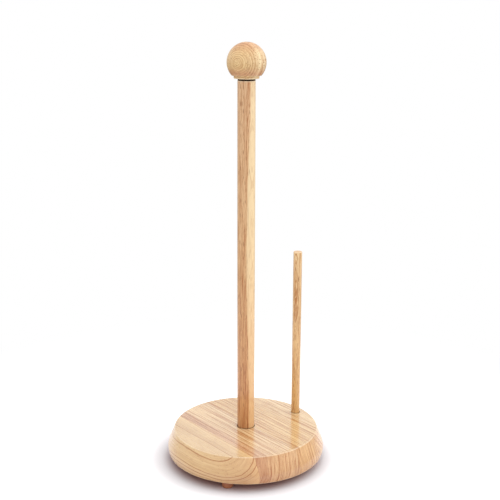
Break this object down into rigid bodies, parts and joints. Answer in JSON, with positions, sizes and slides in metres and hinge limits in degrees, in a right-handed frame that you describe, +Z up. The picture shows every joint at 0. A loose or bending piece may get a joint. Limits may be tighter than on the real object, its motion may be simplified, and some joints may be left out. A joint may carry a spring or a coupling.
{
  "type": "paper towel holder",
  "caption": "Free-standing wooden kitchen roll holder: round edge-glued base on small feet, central dowel with a ball knob that screws off, and a shorter, thinner side arm.",
  "frame": {"origin": "on the floor under the feet, on the axis of the round base and the post", "axes": "+Z up along the post; +X from the post to the side arm; +Y completes the right-handed frame"},
  "size_m": [0.15, 0.15, 0.3945],
  "materials": {
    "pale_wood": "clear satin lacquer on pale, flat-sawn rubberwood",
    "pink_wood": "clear satin lacquer on pinkish, straight-grained rubberwood",
    "dowel_wood": "clear satin lacquer on rubberwood dowel",
    "knob_wood": "clear satin lacquer on turned rubberwood",
    "brown_rubber": "matt moulded",
    "black_fibre": "matt",
    "zinc": "zinc plated",
    "steel": "bright"
  },
  "bodies": {
    "root": {"base_stave_left": "pale_wood", "base_stave_centre_left": "pink_wood", "base_stave_centre_right": "pink_wood", "base_stave_right": "pink_wood", "post": "dowel_wood", "side_arm": "dowel_wood", "post_insert": "zinc", "post_screw": "steel", "post_screw_washer": "zinc", "foot_1": "brown_rubber", "foot_2": "brown_rubber", "foot_3": "brown_rubber", "foot_4": "brown_rubber", "foot_screw_1": "steel", "foot_screw_2": "steel", "foot_screw_3": "steel", "foot_screw_4": "steel"},
    "knob_lift": {"knob_washer": "black_fibre"},
    "knob": {"knob": "knob_wood", "knob_stud": "steel"}
  },
  "joints": [
    {"name": "knob_rise", "type": "slide", "parent": "root", "child": "knob_lift", "axis": [0, 0, 1], "range_m": [0, 0.01201]},
    {"name": "knob_turn", "type": "hinge", "parent": "knob_lift", "child": "knob", "pos_m": [0, 0, 0.3627], "axis": [0, 0, 1], "range_deg": [0, 4320]}
  ],
  "couplings": [
    {"joint": "knob_rise", "follows": "knob_turn", "m_per_rad": 0.00015915}
  ]
}
